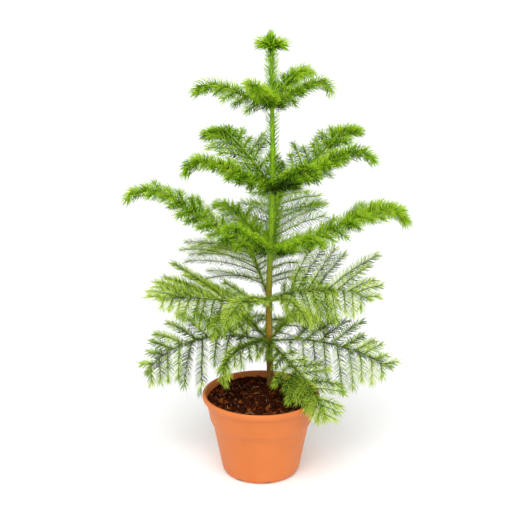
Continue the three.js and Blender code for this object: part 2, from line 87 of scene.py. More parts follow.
TIERS = [
    dict(z=524.0, curl=5, pairs=6, longest=30, start=.02, full=.22, sweep=(58, 45), lift=5, sag=.25, limb=2.1,
         feather=0, needle=(14.8, 2.4, 82, 26, 1.2, UPPER), stout=(1.15, 1.2), age_and_shade=(.36, .24), boughs=[
             bough("left", 183, 113, (25, 23, -54), lift=(-45, 10), reach=(1, .6)),
             bough("right", -6, 95, (32, 41, -95), lift=(10, -25), reach=(.6, .8), tone=-.18),
             bough("back", 53, 107, (50, 12, -36), lift=(20, -10), reach=.62, tone=.04, brush=1.2, slim=.88),
             bough("front", 242, 80, (36, 30, 4), reach=.75, pairs=6, tone=-.34, dense=.75)]),
    dict(z=413.5, curl=5, pairs=9, longest=46, start=.02, full=.28, sweep=(62, 48), lift=8, sag=.35, limb=2.5,
         feather=0, needle=(14.8, 2.3, 82, 26, 1.2, UPPER), stout=(1.15, 1.2), age_and_shade=(.44, .32), boughs=[
             bough("left_front", 200, 140, (16, 48, -76), reach=.75, lift=(-8, 32)),
             bough("left_back", 133, 157, (39, 34, -57), reach=(1.45, 1), lift=(0, 35), feather=.7, fine=.95, dense=.95, pairs=11, over=30, slim=.95),
             bough("right_back", 37, 178, (10, 64, -30), reach=(1.1, 1.15), lift=(38, 0), feather=.6, pairs=12, fine=.95, dense=.97, tone=-.08, over=24, slim=.97),
             bough("right_front", -14, 156, (12, 62, -64), reach=.75, lift=(32, -8)),
             bough("front", 300, 122, (28, 28, -30), reach=.36, tone=.04, bare=14, slim=.75, dense=.8)]),
    dict(z=319.0, curl=6, pairs=8, longest=52, start=.02, full=.34, sweep=(62, 48), lift=6, sag=.30, limb=2.8,
         feather=0, needle=(15.4, 2.2, 82, 26, 1.2, UPPER), stout=(1.15, 1.2), age_and_shade=(.40, .28), boughs=[
             bough("left", 182, 228, (19, 55, -61), reach=(.74, .84), lift=(-12, 42), pairs=12, tone=-.05, foot=.3),
             bough("right", -3, 211, (15, 45, -80), reach=(.95, .9), lift=(30, -12), pairs=12, tone=-.14, full=.62, foot=.05),
             bough("back", 84, 178, (28, 30, -30), reach=(1.5, 1.9), lift=(0, 12), pairs=9, feather=1, fine=1.06, comb=True, tone=-.14, over=30),
             bough("left_back", 138, 120, (40, 30, -20), feather=1, fine=1.0, comb=True, tone=-.12),
             bough("left_front", 240, 142, (32, 32, -24), reach=.36, tone=-.1, bare=16, slim=.64, dense=.8),
             bough("right_front", 300, 142, (23, 23, -24), reach=.3, tone=-.08, bare=16, slim=.6, dense=.8)]),
    dict(z=249.0, curl=2.5, pairs=8, longest=80, start=.12, full=.58, sweep=(60, 42), lift=0, sag=.5, limb=1.4,
         feather=1, needle=(13.4, 1.7, 60, 14, 1.05, LOWER), stout=(.74, 1.3), age_and_shade=(.46, .32), boughs=[
             bough("right", -3, 149, (22, -10, -30), roll=32, sag=(.25, 1.3), lift=(22, -22), reach=(1.1, .6), pairs=9, tone=-.1, fine=1.14),
             bough("left", 183, 157, (-10, 45, -12), roll=-25, sag=(1.3, .25), lift=(-22, 0), reach=(.66, 1.2), pairs=11, fine=1.0, sweep=(60, 22), full=.46, dense=1.2, tone=-.05, pale=.4),
             bough("right_back", 43, 150, (2, -8, -30), roll=35, sag=(.3, 1.3), lift=(10, -20), reach=(.35, .75), pairs=7, claim=.45),
             bough("left_back", 106, 160, (32, 26, -12), reach=1.45, pairs=12, claim=1.3, fine=.85, comb=True, over=28),
             bough("left_front", 240, 130, (22, 4, -50), reach=.3, pairs=8, tone=-.08, dense=.8, slim=.88),
             bough("right_front", 298, 122, (22, 2, -55), reach=.23, pairs=7, tone=-.16, dense=.6, slim=.8)]),
    dict(z=185.0, curl=2.5, pairs=7, longest=88, start=.12, full=.5, sweep=(64, 45), lift=-8, sag=1.0, limb=1.4,
         feather=1, needle=(12.8, 1.45, 60, 14, 1.2, LOWER), stout=(.76, 1.7), age_and_shade=(.60, .42), boughs=[
             bough("left", 181, 200, (16, -34, -56), roll=-32, sag=(1.4, .2), pairs=9, reach=(.84, .8), claim=1.3, fine=1.06, dense=1.1, pale=.2, tone=.03),
             bough("right", -2, 186, (9, -40, -28), roll=32, sag=(.2, 1.4), pairs=9, reach=(.78, .82), fine=1.06, dense=.96, pale=.4, tone=.03),
             bough("right_front", 310, 149, (-24, -26, -54), sag=(.35, .7), lift=(24, -8), reach=(.8, .58), pairs=9, star=-1, brush=1.25, tone=-.1, pale=.5, sweep=(80, 50)),
             bough("left_front", 220, 116, (15, -24, -110), reach=(.36, .32), sag=(.9, .8), pairs=7, brush=1.05, tone=-.1),
             bough("left_back", 122, 150, (18, 4, -40), reach=.8, comb=True, tone=-.14),
             bough("right_back", 62, 150, (16, 4, -40), reach=.8, comb=True, tone=-.14)]),
]
# short shoots straight from the trunk beside a tier: height, azimuth, length, pitch, how far they bend down, tone
NODE_SHOOTS = {
    0: [(528, 248, 30, 52, 20, -.16), (525, 284, 26, 44, 20, -.16), (533, 228, 24, 58, 15, -.16)],
    # the shoots at the second tier's node carry dark tints (tone .5 to .6): painted shade in the core of that node
    1: [(415, 252, 24, 26, 40, .5), (411, 276, 22, 14, 40, .6), (416, 296, 26, 30, 40, .5), (410, 232, 20, 10, 40, .5)],
    3: [(251, 248, 22, 12, 70, -.06), (247, 286, 20, 4, 70, -.06), (253, 268, 16, 24, 70, -.06)],
    4: [(187, 244, 28, 6, 70, -.06), (182, 266, 26, -8, 70, -.06), (189, 288, 22, 14, 70, -.06),
        (178, 252, 22, -24, 50, -.06), (184, 226, 24, 2, 70, -.06)],
}
TOP_ARMS = [(183, 16, 40), (355, 17, 34), (62, 14, 44), (122, 14, 44), (268, 8, 30)]
TOP_ARMS_Z = 604.0


# ------------------------------------------------------------------ small maths
def unit(v):
    v = np.asarray(v, float)
    return v / np.maximum(np.linalg.norm(v, axis=-1, keepdims=True), 1e-12)


def chance(*n):
    k = (12.9898, 78.233, 37.719, 9.131)
    s = math.sin(sum(x * k[i] for i, x in enumerate(n))) * 43758.5453
    return s - math.floor(s)


def lattice(ix, iy, iz, seed):
    h = (ix.astype(np.int64) * 374761393 + iy.astype(np.int64) * 668265263
         + iz.astype(np.int64) * 2147483647 + seed * 97463431) & 0xFFFFFFFF
    h = ((h ^ (h >> 13)) * 1274126177) & 0xFFFFFFFF
    h = ((h ^ (h >> 15)) * 2246822519) & 0xFFFFFFFF
    return ((h ^ (h >> 16)) & 0xFFFFFF) / float(0xFFFFFF)


def noise(x, y, z, seed=1):
    """Smooth value noise from 0 to 1."""
    x, y, z = np.broadcast_arrays(np.asarray(x, float), np.asarray(y, float), np.asarray(z, float))
    x0, y0, z0 = np.floor(x), np.floor(y), np.floor(z)
    fx, fy, fz = x - x0, y - y0, z - z0
    fx, fy, fz = (f * f * (3 - 2 * f) for f in (fx, fy, fz))
    out = 0.0
    for dx in (0, 1):
        for dy in (0, 1):
            for dz in (0, 1):
                w = (fx if dx else 1 - fx) * (fy if dy else 1 - fy) * (fz if dz else 1 - fz)
                out = out + w * lattice(x0 + dx, y0 + dy, z0 + dz, seed)
    return out


def srgb(r, g, b):
    c = np.array([r, g, b], float) / 255.0
    c = np.where(c <= .04045, c / 12.92, ((c + .055) / 1.055) ** 2.4)
    return (float(c[0]), float(c[1]), float(c[2]), 1.0)


# ------------------------------------------------------------------ meshes from arrays
def piece(name, verts_mm, face_sets, materials, indices=None, smooth=True):
    """A mesh object from vertices in mm and arrays of triangles or quads."""
    me = bpy.data.meshes.new(name)
    verts = np.asarray(verts_mm, np.float32) * np.float32(MM)
    me.vertices.add(len(verts))
    me.vertices.foreach_set("co", verts.ravel())
    loops = np.concatenate([np.asarray(f, np.int32).ravel() for f in face_sets])
    totals = np.concatenate([np.full(len(f), np.asarray(f).shape[1], np.int32) for f in face_sets])
    starts = np.concatenate([[0], np.cumsum(totals)[:-1]]).astype(np.int32)
    me.loops.add(len(loops))
    me.loops.foreach_set("vertex_index", loops)
    me.polygons.add(len(totals))
    me.polygons.foreach_set("loop_start", starts)
    if indices is not None:
        me.polygons.foreach_set("material_index", np.concatenate(indices).astype(np.int32))
    me.polygons.foreach_set("use_smooth", np.full(len(totals), smooth, bool))
    for m in materials:
        me.materials.append(m)
    me.update(calc_edges=True)
    me.validate()
    ob = bpy.data.objects.new(name, me)
    bpy.context.scene.collection.objects.link(ob)
    return ob


def settle(ob, nodes=()):
    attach(ob, "root")
    if nodes:
        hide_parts(*nodes)
    return ob


class Heap:
    """Collects vertices and faces of many small things."""

    def __init__(self):
        self.v, self.f3, self.f4, self.m3, self.m4, self.n = [], [], [], [], [], 0

    def add(self, verts, tris=None, quads=None, mat=0):
        if tris is not None and len(tris):
            self.f3.append(np.asarray(tris) + self.n)
            self.m3.append(np.full(len(tris), mat))
        if quads is not None and len(quads):
            self.f4.append(np.asarray(quads) + self.n)
            self.m4.append(np.full(len(quads), mat))
        self.v.append(np.asarray(verts, float))
        self.n += len(verts)

    def make(self, name, materials, smooth=True):
        sets, idx = [], []
        if self.f4:
            sets.append(np.concatenate(self.f4)); idx.append(np.concatenate(self.m4))
        if self.f3:
            sets.append(np.concatenate(self.f3)); idx.append(np.concatenate(self.m3))
        return piece(name, np.concatenate(self.v), sets, materials, idx, smooth)


def tube(points, frames, radii):
    """Verts, tris and quads of a closed tube. radii is (rings, sides)."""
    n, k = radii.shape
    a = np.arange(k) / k * 2 * np.pi
    u, w = frames
    ring = u[:, None, :] * np.cos(a)[None, :, None] + w[:, None, :] * np.sin(a)[None, :, None]
    verts = (points[:, None, :] + ring * radii[:, :, None]).reshape(-1, 3)
    i = np.arange(n - 1)[:, None] * k
    j = np.arange(k)[None, :]
    j1 = (j + 1) % k
    quads = np.stack([i + j, i + j1, i + k + j1, i + k + j], -1).reshape(-1, 4)
    verts = np.concatenate([verts, points[:1], points[-1:]])
    c0, c1 = n * k, n * k + 1
    e = (n - 1) * k
    t0 = np.stack([np.full(k, c0), (np.arange(k) + 1) % k, np.arange(k)], -1)
    t1 = np.stack([np.full(k, c1), e + np.arange(k), e + (np.arange(k) + 1) % k], -1)
    return verts, np.concatenate([t0, t1]), quads


def transport(points):
    """Tangents and a frame that turns as little as it can along a line of points."""
    t = unit(np.gradient(points, axis=0))
    u = np.zeros_like(t)
    ref = np.array([0, 0, 1.0]) if abs(t[0, 2]) < .9 else np.array([1.0, 0, 0])
    u[0] = unit(ref - t[0] * (ref @ t[0]))
    for i in range(1, len(t)):
        v = u[i - 1] - t[i] * (u[i - 1] @ t[i])
        u[i] = unit(v)
    return t, u, np.cross(t, u)


def resample(points, step):
    d = np.concatenate([[0], np.cumsum(np.linalg.norm(np.diff(points, axis=0), axis=1))])
    n = max(3, int(math.ceil(d[-1] / step)) + 1)
    s = np.linspace(0, d[-1], n)
    return np.stack([np.interp(s, d, points[:, c]) for c in range(3)], 1), s


# ------------------------------------------------------------------ skeleton
def trunk_at(z):
    k = TRUNK_KEYS
    n = len(k)
    i = int(np.clip(np.searchsorted(k[:, 0], z) - 1, 0, n - 2))
    h = k[i + 1, 0] - k[i, 0]
    t = float(np.clip((z - k[i, 0]) / h, 0, 1))

    def slope(j, c):
        a, b = max(0, j - 1), min(n - 1, j + 1)
        return (k[b, c] - k[a, c]) / (k[b, 0] - k[a, 0])

    out = [(2 * t ** 3 - 3 * t * t + 1) * k[i, c] + (t ** 3 - 2 * t * t + t) * h * slope(i, c)
           + (-2 * t ** 3 + 3 * t * t) * k[i + 1, c] + (t ** 3 - t * t) * h * slope(i + 1, c) for c in (1, 2, 3)]
    return np.array([out[0], out[1], z]), max(.6, out[2])


def pitch_at(tier, b, t):
    p0, pm, p1 = b["pitch"]
    return np.radians(p0 + (pm - p0) * t + (p1 - pm) * t ** tier["curl"])


def course(tier, b, steps=96):
    """Points and frame of a bough from the trunk's axis to its tip."""
    a = math.radians(b["az"])
    tm = (np.arange(steps) + .5) / steps
    th = pitch_at(tier, b, tm)
    d = np.stack([math.cos(a) * np.cos(th), math.sin(a) * np.cos(th), np.sin(th)], 1)
    pts = np.concatenate([[trunk_at(tier["z"])[0]], trunk_at(tier["z"])[0] + np.cumsum(d * b["length"] / steps, 0)])
    th = pitch_at(tier, b, np.arange(steps + 1) / steps)
    d = np.stack([math.cos(a) * np.cos(th), math.sin(a) * np.cos(th), np.sin(th)], 1)
    side0 = np.array([-math.sin(a), math.cos(a), 0.0])
    up0 = unit(np.cross(d, side0))
    c, s = math.cos(math.radians(b["roll"])), math.sin(math.radians(b["roll"]))
    side = side0 * c + up0 * s
    up = up0 * c - side0 * s
    return pts, d, side, up


def share(t, full, foot):
    return .14 + .86 * min(1, foot + 1.6 * t) * max(0, 1 - max(0, t - full) / (1 - full)) ** .8


def sector(tier, b):
    rest = [x for x in tier["boughs"] if x is not b]
    left = min(rest, key=lambda x: (x["az"] - b["az"]) % 360)
    right = min(rest, key=lambda x: (b["az"] - x["az"]) % 360)

    def room(x, gap):
        return min(85, gap % 360 * b["claim"] / (b["claim"] + x["claim"]))

    return -room(right, b["az"] - right["az"]), room(left, left["az"] - b["az"])


def twig(tier, b, frame_at, t, way, length, seed, steps=16):
    p, d, side, up = frame_at(t)
    sag = b["sag"][0 if way > 0 else 1] if b["sag"] else tier["sag"]
    s0, s1 = (b["sweep"] or tier["sweep"]) if sag <= 1 else HANGING
    sw = math.radians(s0 + (s1 - s0) * t + (chance(seed, way) - .5) * 9)
    lift = b["lift"][0 if way > 0 else 1] if b["lift"] else tier["lift"]
    li = math.radians(lift * (1 - .7 * t) + (chance(seed, way, 3) - .5) * 22)
    sag *= .85 + .3 * chance(seed, way, 5)
    d0 = d * math.cos(sw) + side * way * math.sin(sw) * math.cos(li) + up * math.sin(sw) * math.sin(li)
    u = (np.arange(steps) + .5) / steps
    bend = (chance(seed, way, 7) - .5) * .22
    dd = d0[None] + np.array([0, 0, -1.0]) * (sag * u ** 1.3)[:, None] + (d * bend)[None] * u[:, None]
    pts = np.concatenate([[p], p + np.cumsum(unit(dd) * length / steps, 0)])
    # stop where the neighbouring bough's room begins
    c = trunk_at(tier["z"])[0]
    lo, hi = sector(tier, b)
    rel = pts[3:] - c
    turn = (np.degrees(np.arctan2(rel[:, 1], rel[:, 0])) - b["az"] + 900) % 360 - 180
    spare = np.degrees(2.0 / np.maximum(np.hypot(rel[:, 0], rel[:, 1]), 1))
    spare = spare + b["over"]
    out = np.nonzero((turn > hi + spare) | (turn < lo - spare))[0]
    if len(out):
        pts = pts[:max(4, out[0] + 3)]
    return pts


def clear_of_pot(p):
    """True for points that are neither in the pot, its wall nor its compost."""
    r = np.hypot(p[:, 0], p[:, 1])
    z = p[:, 2]
    soil = SOIL_EDGE_Z + np.minimum(SOIL_MOUND, 7 * np.exp(-((p[:, 0] - 14.4) ** 2 + (p[:, 1] - 32) ** 2)
                                                         / (2 * MOUND_SPREAD ** 2)))
    wall = np.interp(z, [0, 6, 74, 80, 107, 110, 119], [51.2, 56.4, 69.6, 73.4, 78.6, 85, 85]) + 1.2
    return ((r > wall) & (z > 3)) | ((z > RIM_Z + 1.2) & (r > 72)) | ((r <= 76) & (z > soil + 4.0))


# ------------------------------------------------------------------ needles
class Needles:
    """Needles wait here as rows of numbers until a whole tier is made at once."""

    def __init__(self):
        self.rows = []

    def clothe(self, pts, length, per_mm, spread, incurve, width, turn, age0, age1, spray, s_from=0.0, radius=.8, tip=14.0,
               flat=0.0, tip_short=.95, base_short=.8, crown=3, vary=.85, shade=.2, plane=None, rows=FROND_ROWS, core=0.0):
        pts, s = resample(pts, 1.5)
        t, u, w = transport(pts)
        total = s[-1]
        n = int((total - s_from) * per_mm)
        if n < 4:
            return
        at = s_from + (total - s_from) * (np.arange(n) + .5 + (rng.random(n) - .5) * .5) / n
        # more needles crowd the growing tip, and a few close its end
        extra = int(tip * per_mm * .2)
        at = np.concatenate([at, total - tip * .7 * rng.random(extra) ** 1.4, total - 1.5 * rng.random(crown)])
        n = len(at)
        ip = lambda a: np.stack([np.interp(at, s, a[:, c]) for c in range(3)], 1)
        p, tt, uu = ip(pts), unit(ip(t)), ip(u)
        if plane is None:
            phi = np.arange(n) * math.radians(turn) + (rng.random() - .5) * .5 + (rng.random(n) - .5) * .3
        else:
            # two long rows in the given plane, thinner ones on either side of it
            phi = rows[np.arange(n) % len(rows)] + (rng.random(n) - .5) * .5
            uu = np.tile(plane, (n, 1))
        uu = unit(uu - tt * np.sum(uu * tt, 1, keepdims=True))
        ww = np.cross(tt, uu)
        rad = uu * np.cos(phi)[:, None] + ww * np.sin(phi)[:, None]
        near = np.clip((total - at) / tip, 0, 1)      # 0 at the tip, 1 behind the fresh growth
        foot = np.clip((at - s_from) / 10.0, 0, 1)
        ang = (spread + (rng.random(n) - .5) * 14) * (.42 + .58 * near ** .8)
        ln = length * (tip_short + (1 - tip_short) * near) * (base_short + (1 - base_short) * foot) * (.88 + .2 * rng.random(n))
        if crown:
            ang[-crown:] = 6 + 22 * rng.random(crown)
            ln[-crown:] *= .8
        if flat:
            # needles below the shoot are shorter
            ln = ln * (1 - flat * .45 * np.clip(-rad[:, 2], 0, 1))
        age_and_shade = age1 + (age0 - age1) * near ** .8
        # painted shade: needles near the trunk, most of all those facing down, are pushed to darker tints (core sets
        # how much)
        near_trunk = np.exp(-np.sum((p[:, :2] - AXIS) ** 2, 1) / 22.0 ** 2)
        age_and_shade = age_and_shade + core * near_trunk * (.45 + .55 * np.clip(.6 - rad[:, 2], 0, 1))
        tuft = noise(p[:, 0] / 13, p[:, 1] / 13, p[:, 2] / 13, 91) - .5      # fresher and older tufts
        # painted shade: needles facing down get darker tints and needles facing up get lighter ones (shade sets how
        # much)
        age_and_shade = np.clip(age_and_shade + spray + .55 * tuft * (.25 + .75 * near) - shade * rad[:, 2] + (rng.random(n) - .5) * vary, 0, .999)
        ang, more = np.radians(ang), np.stack([np.full(n, math.radians(incurve)), width * (.72 + .28 * near)], 1)
        self.rows.append(np.concatenate([p + rad * radius * .6, tt, rad, ang[:, None], ln[:, None], age_and_shade[:, None],
                                         more], 1))

    def count(self):
        return sum(len(r) for r in self.rows)

    def make(self, name, materials):
        r = np.concatenate(self.rows)
        p, t, rad = r[:, :3], r[:, 3:6], r[:, 6:9]
        ang, ln, age_and_shade, curve, wide = r[:, 9], r[:, 10], r[:, 11], r[:, 12], r[:, 13]
        d0 = t * np.cos(ang)[:, None] + rad * np.sin(ang)[:, None]
        a1 = ang - curve
        d1 = t * np.cos(a1)[:, None] + rad * np.sin(a1)[:, None]
        mid = p + d0 * (ln * .5)[:, None]
        end = mid + d1 * (ln * .5)[:, None]
        keep = clear_of_pot(end) & clear_of_pot(mid)
        p, t, rad, d0, d1, mid, end, age_and_shade, ln, wide = (x[keep] for x in (p, t, rad, d0, d1, mid, end, age_and_shade, ln, wide))
        n = len(p)
        wd = unit(np.cross(t, rad))
        nm = np.cross(wd, d0)
        wide = (wide * (.85 + .3 * rng.random(n)) * np.clip(ln / 11, .7, 1.05))[:, None]
        v = np.empty((n, 7, 3))
        v[:, 0] = p + wd * wide * .5
        v[:, 1] = p - wd * wide * .5
        v[:, 2] = p + nm * wide * .7
        v[:, 3] = mid + wd * wide * .4
        v[:, 4] = mid - wd * wide * .4
        v[:, 5] = mid + nm * wide * .55
        v[:, 6] = end
        base = (np.arange(n) * 7)[:, None, None]
        quads = np.array([[0, 1, 4, 3], [1, 2, 5, 4], [2, 0, 3, 5]])[None] + base
        tris = np.array([[3, 4, 6], [4, 5, 6], [5, 3, 6], [2, 1, 0]])[None] + base
        k = len(materials)
        # the tint is picked from the needle's age together with the painted shade added to it
        tint = np.minimum((age_and_shade * k).astype(int), k - 1)
        return piece(name, v.reshape(-1, 3), [quads.reshape(-1, 4), tris.reshape(-1, 3)], materials,
                     [np.repeat(tint, 3), np.repeat(tint, 4)])


# ------------------------------------------------------------------ materials
def plain(name, colour, rough, spec=.35, sheen=0.0):
    m = bpy.data.materials.new(name)
    m.use_nodes = True
    b = m.node_tree.nodes["Principled BSDF"]
    b.inputs["Base Color"].default_value = srgb(*colour)
    b.inputs["Roughness"].default_value = rough
    b.inputs["Specular IOR Level"].default_value = spec
    if sheen:
        b.inputs["Sheen Weight"].default_value = sheen
    return m


class Graph:
    """Shorthand for building a node material."""

    def __init__(self, name):
        self.m = bpy.data.materials.new(name)
        self.m.use_nodes = True
        self.t = self.m.node_tree
        self.b = self.t.nodes["Principled BSDF"]

    def node(self, kind, **inputs):
        n = self.t.nodes.new(kind)
        for k, v in inputs.items():
            if hasattr(v, "links"):
                self.t.links.new(v, n.inputs[k.replace("_", " ")])
            else:
                n.inputs[k.replace("_", " ")].default_value = v
        return n

    def link(self, out, socket):
        self.t.links.new(out, socket)

    def ramp(self, fac, stops):
        n = self.t.nodes.new("ShaderNodeValToRGB")
        e = n.color_ramp.elements
        while len(e) > 1:
            e.remove(e[-1])
        e[0].position, e[0].color = stops[0]
        for pos, col in stops[1:]:
            x = e.new(pos)
            x.color = col
        self.link(fac, n.inputs["Fac"])
        return n.outputs["Color"]


# needle tints run from fresh lime to old dark green; the darker ones also carry the painted shade mixed into each
# needle's value
NEEDLE_TINTS = [
    plain("needle_pale_lime", (188, 220, 52), .6, .12),
    plain("needle_lime", (166, 213, 34), .6, .12),
    plain("needle_fresh", (145, 198, 22), .6, .12),
    plain("needle_green", (126, 175, 15), .62, .12),
    plain("needle_leaf", (106, 152, 8), .62, .12),
    plain("needle_dark", (68, 106, 7), .65, .12),
    plain("needle_deep", (34, 57, 6), .65, .12),
]
OLD_TINTS = [
    plain("needle_old_pale", (202, 226, 90), .62, .12),
    plain("needle_old_lime", (180, 210, 70), .62, .12),
    plain("needle_old_fresh", (156, 193, 52), .62, .12),
    plain("needle_old_green", (127, 166, 38), .64, .12),
    plain("needle_old_leaf", (107, 142, 32), .64, .12),
    plain("needle_old_dark", (86, 115, 26), .66, .12),
    plain("needle_old_deep", (64, 86, 22), .66, .12),
]
TWIG_TINTS = [
    plain("twig_green", (126, 160, 44), .65, .2),
    plain("twig_olive", (88, 116, 38), .7, .2),
    plain("twig_brown", (92, 98, 44), .7, .2),
]


def bark_material(name, stops, z0, z1, strength):
    g = Graph(name)
    co = g.node("ShaderNodeTexCoord").outputs["Object"]
    sep = g.node("ShaderNodeSeparateXYZ", Vector=co)
    hgt = g.node("ShaderNodeMapRange", Value=sep.outputs["Z"])
    hgt.inputs["From Min"].default_value = z0
    hgt.inputs["From Max"].default_value = z1
    fine = g.node("ShaderNodeTexNoise", Vector=co, Scale=420.0, Detail=4.0, Roughness=.6)
    blot = g.node("ShaderNodeTexNoise", Vector=co, Scale=70.0, Detail=3.0)
    wob = g.node("ShaderNodeMath", Value=blot.outputs["Fac"])
    wob.operation = "MULTIPLY_ADD"
    wob.inputs[1].default_value = .16
    wob.inputs[2].default_value = -.08
    where = g.node("ShaderNodeMath")
    where.operation = "ADD"
    g.link(hgt.outputs["Result"], where.inputs[0])
    g.link(wob.outputs[0], where.inputs[1])
    col = g.ramp(where.outputs[0], stops)
    shade = g.ramp(fine.outputs["Fac"], [(.3, (.55, .52, .48, 1)), (.62, (1.0, 1.0, 1.0, 1))])
    mix = g.t.nodes.new("ShaderNodeMix")
    mix.data_type = "RGBA"
    mix.blend_type = "MULTIPLY"
    mix.inputs["Factor"].default_value = .75
    g.link(col, mix.inputs["A"])
    g.link(shade, mix.inputs["B"])
    g.link(mix.outputs["Result"], g.b.inputs["Base Color"])
    g.b.inputs["Roughness"].default_value = .72
    g.b.inputs["Specular IOR Level"].default_value = .3
    bump = g.node("ShaderNodeBump", Height=fine.outputs["Fac"], Strength=strength, Distance=.0006)
    g.link(bump.outputs["Normal"], g.b.inputs["Normal"])
    return g.m


# ------------------------------------------------------------------ camera and light
cam_data = bpy.data.cameras.new("camera")
cam = bpy.data.objects.new("camera", cam_data)
bpy.context.scene.collection.objects.link(cam)
cam.location = (-.005, -1.350, .695)
cam.rotation_euler = (math.radians(90 - 15.57), 0, 0)
cam_data.sensor_width = 36.0
cam_data.lens = 36.0 * 1008.0 / 517.0
bpy.context.scene.camera = cam

scene = bpy.context.scene
scene.view_settings.view_transform = "Standard"
scene.view_settings.look = "None"
world = bpy.data.worlds.new("studio")
scene.world = world
world.use_nodes = True
sky = world.node_tree
height = sky.nodes.new("ShaderNodeSeparateXYZ")
sky.links.new(sky.nodes.new("ShaderNodeTexCoord").outputs["Generated"], height.inputs[0])
fade = sky.nodes.new("ShaderNodeValToRGB")
fade.color_ramp.elements[0].position, fade.color_ramp.elements[0].color = .10, (1, 1, 1, 1)
fade.color_ramp.elements[1].position, fade.color_ramp.elements[1].color = .40, (.74, .74, .74, 1)
sky.links.new(height.outputs["Z"], fade.inputs["Fac"])
sky.links.new(fade.outputs["Color"], sky.nodes["Background"].inputs["Color"])
sky.nodes["Background"].inputs["Strength"].default_value = 1.0


def softbox(name, place, aim, size, watts):
    data = bpy.data.lights.new(name, "AREA")
    data.shape = "DISK"
    data.size = size
    data.energy = watts
    ob = bpy.data.objects.new(name, data)
    scene.collection.objects.link(ob)
    ob.location = place
    from mathutils import Vector
    ob.rotation_euler = (Vector(aim) - Vector(place)).to_track_quat("-Z", "Y").to_euler()


data = bpy.data.lights.new("overhead", "SUN")
data.energy = 1.75
data.angle = math.radians(50)
overhead = bpy.data.objects.new("overhead", data)
scene.collection.objects.link(overhead)
overhead.rotation_euler = (math.radians(34), 0, math.radians(-8))
softbox("key", (-.7, -1.7, 1.9), (0, 0, .3), 1.6, 8)
softbox("fill", (1.3, -1.5, 1.2), (0, 0, .3), 1.6, 5)

ang = np.linspace(0, 2 * np.pi, 65)[:-1]
floor_v = np.concatenate([[[0, 0, 0]], np.stack([40000 * np.cos(ang), 40000 * np.sin(ang), 0 * ang], 1)])
floor_f = np.stack([np.zeros(64, int), 1 + np.arange(64), 1 + (np.arange(64) + 1) % 64], 1)
floor = piece("floor", floor_v, [floor_f], [plain("pale_floor", (250, 250, 250), .8, .2)], smooth=False)

# ------------------------------------------------------------------ pot
def arc_fill(profile, step):
    out = [profile[0]]
    for a, b in zip(profile[:-1], profile[1:]):
        n = max(1, int(math.ceil(math.dist(a, b) / step)))
        out += [(a[0] + (b[0] - a[0]) * i / n, a[1] + (b[1] - a[1]) * i / n) for i in range(1, n + 1)]
    return out


def rounded(points, radii, n=5):
    """A line with its inner corners rounded by the given radii."""
    pts = [points[0]]
    for i in range(1, len(points) - 1):
        p0, p, p1 = (np.array(points[j], float) for j in (i - 1, i, i + 1))
        a, b = unit(p0 - p), unit(p1 - p)
        cut = min(radii[i], np.linalg.norm(p0 - p) * .48, np.linalg.norm(p1 - p) * .48)
        if cut < .05:
            pts.append(tuple(p))
            continue
        s, e = p + a * cut, p + b * cut
        for k in range(n + 1):
            t = k / n
            q = s * (1 - t) ** 2 + 2 * p * t * (1 - t) + e * t * t
            pts.append((float(q[0]), float(q[1])))
    pts.append(points[-1])
    return pts


pot_line = [
    (0, 1.0), (40, 1.0), (42.5, 0), (BASE_FLAT_R + 1.5, 0), (BASE_CORNER_R, CORNER_Z),
    (STEP_R, STEP_Z), (COLLAR_LOW_R, COLLAR_LOW_Z - 1), (COLLAR_TOP_R, RIM_Z - LIP_DROP - 2.5),
    (RIM_R - 1.4, RIM_Z - LIP_DROP + .6), (RIM_R, RIM_Z - 3.0), (RIM_R - 1.4, RIM_Z), (RIM_R - 4.4, RIM_Z),
    (RIM_R - 5.4, RIM_Z - 3), (COLLAR_TOP_R - WALL, RIM_Z - LIP_DROP - 4), (COLLAR_LOW_R - WALL, COLLAR_LOW_Z),
    (STEP_R - WALL, STEP_Z - 1), (BASE_CORNER_R - WALL, CORNER_Z + 1), (BASE_FLAT_R, FLOOR_T), (0, FLOOR_T)]
pot_round = [0, 0, 1, 2.2, 5, 5, 3, 2.2, 2.0, 1.6, .7, .9, 1.5, 3, 3, 3, 4, 2, 0]
prof = np.array(rounded(pot_line, pot_round))
SEG = 144
a = np.arange(SEG) / SEG * 2 * np.pi
inner = prof[1:-1]
pv = np.stack([inner[:, 0][:, None] * np.cos(a), inner[:, 0][:, None] * np.sin(a),
               np.repeat(inner[:, 1][:, None], SEG, 1)], -1).reshape(-1, 3)
n = len(inner)
i = np.arange(n - 1)[:, None] * SEG
j = np.arange(SEG)[None]
pq = np.stack([i + j, i + (j + 1) % SEG, i + SEG + (j + 1) % SEG, i + SEG + j], -1).reshape(-1, 4)
pv = np.concatenate([pv, [[0, 0, prof[0, 1]], [0, 0, prof[-1, 1]]]])
c0, c1 = n * SEG, n * SEG + 1
jj = np.arange(SEG)
pt = np.concatenate([np.stack([np.full(SEG, c0), (jj + 1) % SEG, jj], -1),
                     np.stack([np.full(SEG, c1), (n - 1) * SEG + jj, (n - 1) * SEG + (jj + 1) % SEG], -1)])

